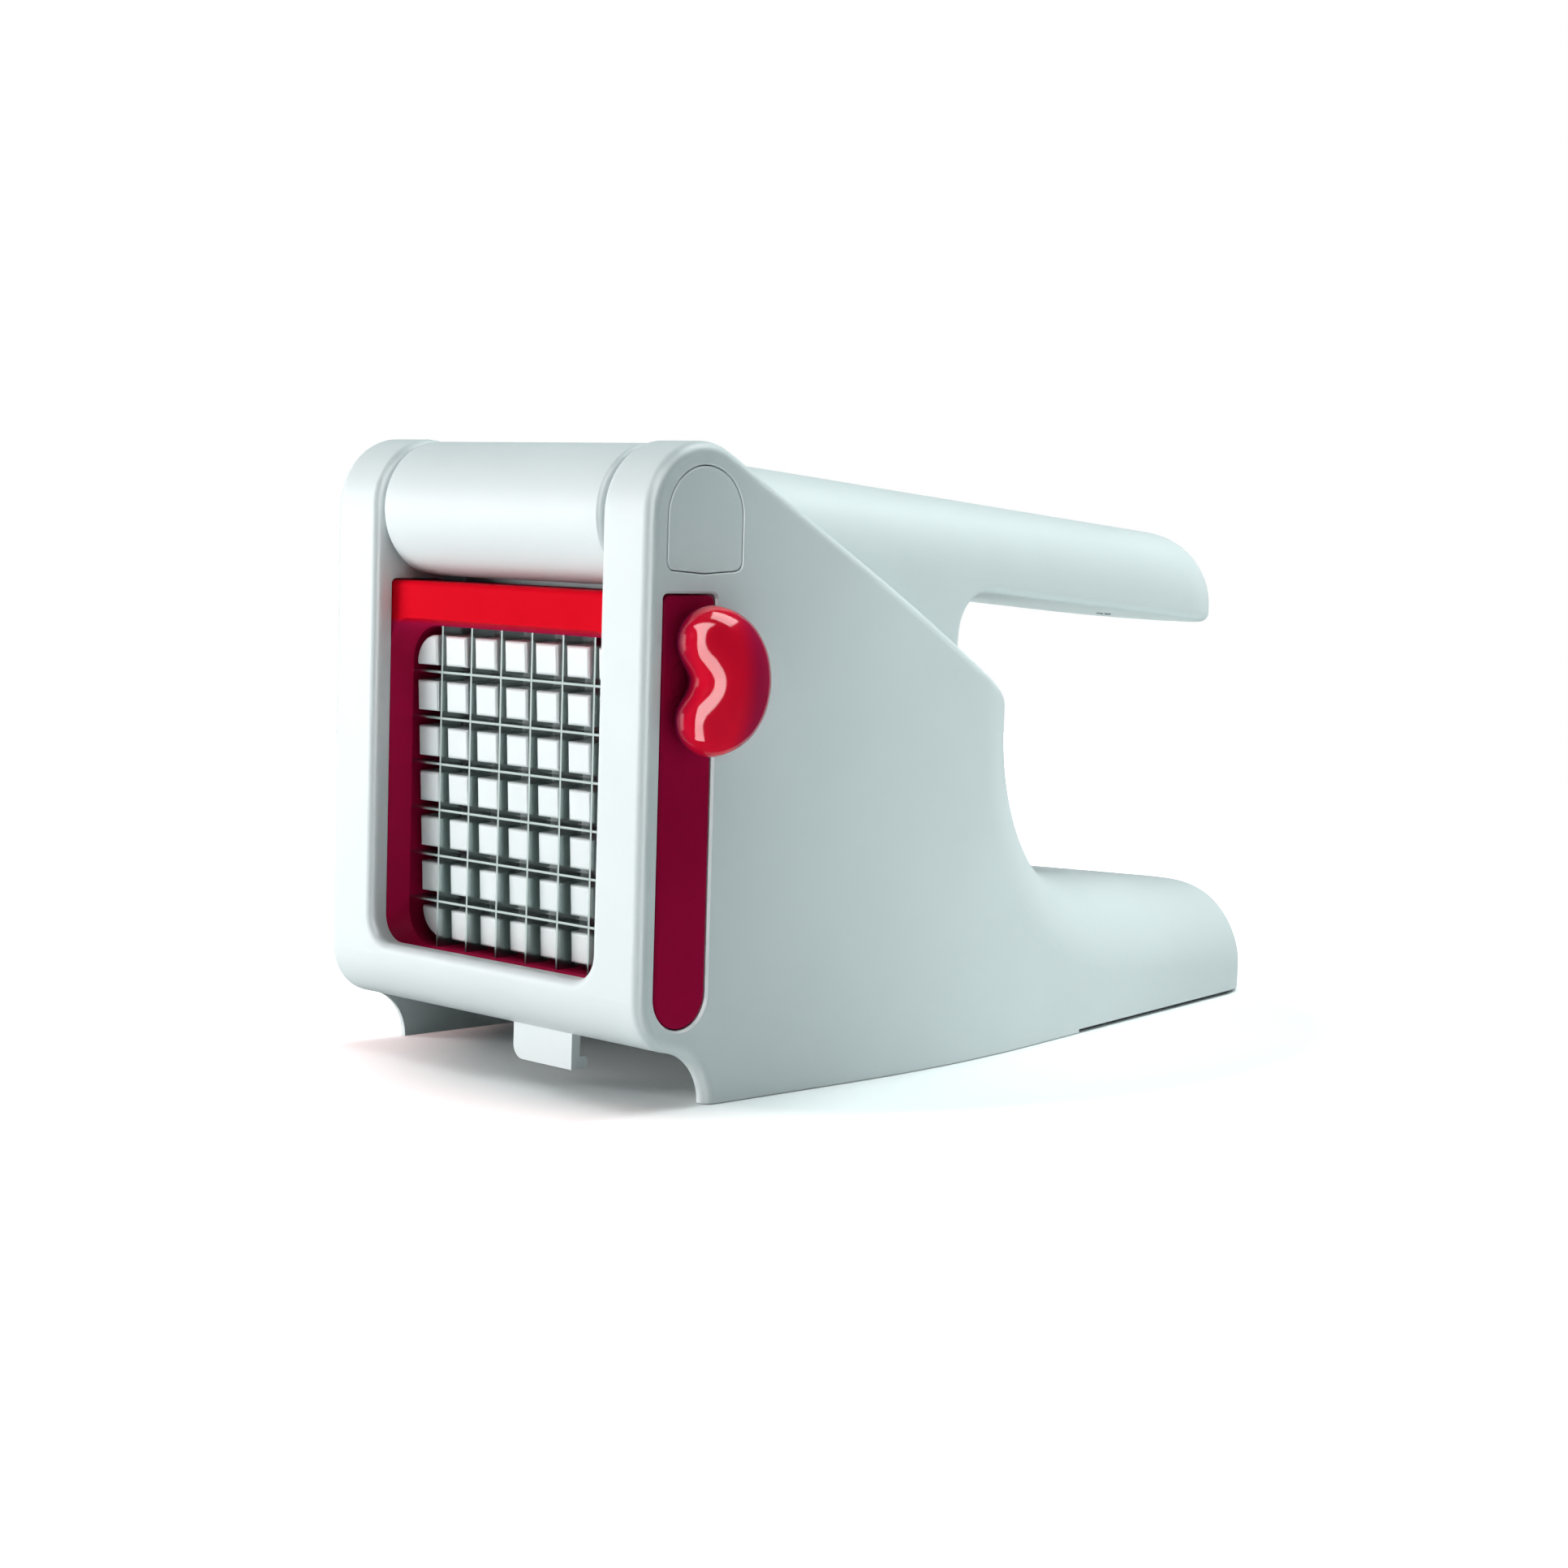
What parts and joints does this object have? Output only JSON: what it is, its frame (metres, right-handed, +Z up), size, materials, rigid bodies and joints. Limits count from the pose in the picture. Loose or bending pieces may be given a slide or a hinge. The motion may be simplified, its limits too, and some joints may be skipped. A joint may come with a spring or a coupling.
{
  "type": "lever chip cutter",
  "caption": "Free-standing lever chip cutter: a hinged handle swings a toothed pusher through a slide-in steel blade grid, in a white body with a long tail.",
  "frame": {"origin": "middle of the whole object's box on the surface that it stands on; the pull knob counts in the box", "axes": "+Y rearward from the chip outlet to the tail, +Z up, +X to the side with the pull knob"},
  "size_m": [0.1156, 0.251, 0.1345],
  "materials": {
    "white_plastic": "moulded white plastic with a soft satin gloss",
    "pale_plastic": "moulded pale plastic, slightly duller than the body",
    "red_plastic": "moulded red plastic, glossy on the knob",
    "blade_steel": "thin ground stainless strip",
    "fastener_steel": "plain turned steel",
    "dark_rubber": "matte dark rubber"
  },
  "bodies": {
    "body": {"housing": "white_plastic", "tail_foot": "dark_rubber", "hinge_axle": "fastener_steel", "hinge_cap_right": "white_plastic", "hinge_cap_left": "white_plastic", "cassette_frame": "red_plastic", "cassette_cover": "red_plastic", "cassette_screws": "fastener_steel", "pull_knob": "red_plastic", "upright_blade_1": "blade_steel", "upright_blade_2": "blade_steel", "upright_blade_3": "blade_steel", "upright_blade_4": "blade_steel", "upright_blade_5": "blade_steel", "upright_blade_6": "blade_steel", "cross_blade_1": "blade_steel", "cross_blade_2": "blade_steel", "cross_blade_3": "blade_steel", "cross_blade_4": "blade_steel", "cross_blade_5": "blade_steel", "cross_blade_6": "blade_steel"},
    "lever": {"handle_shell": "white_plastic", "grip_cover": "pale_plastic", "grip_screws": "fastener_steel", "pusher_block": "white_plastic", "pusher_screws": "fastener_steel"}
  },
  "joints": [
    {"name": "lever_hinge", "type": "hinge", "parent": "body", "child": "lever", "pos_m": [-0.00645, -0.1104, 0.1194], "axis": [1, 0, 0], "range_deg": [0, 120]}
  ]
}
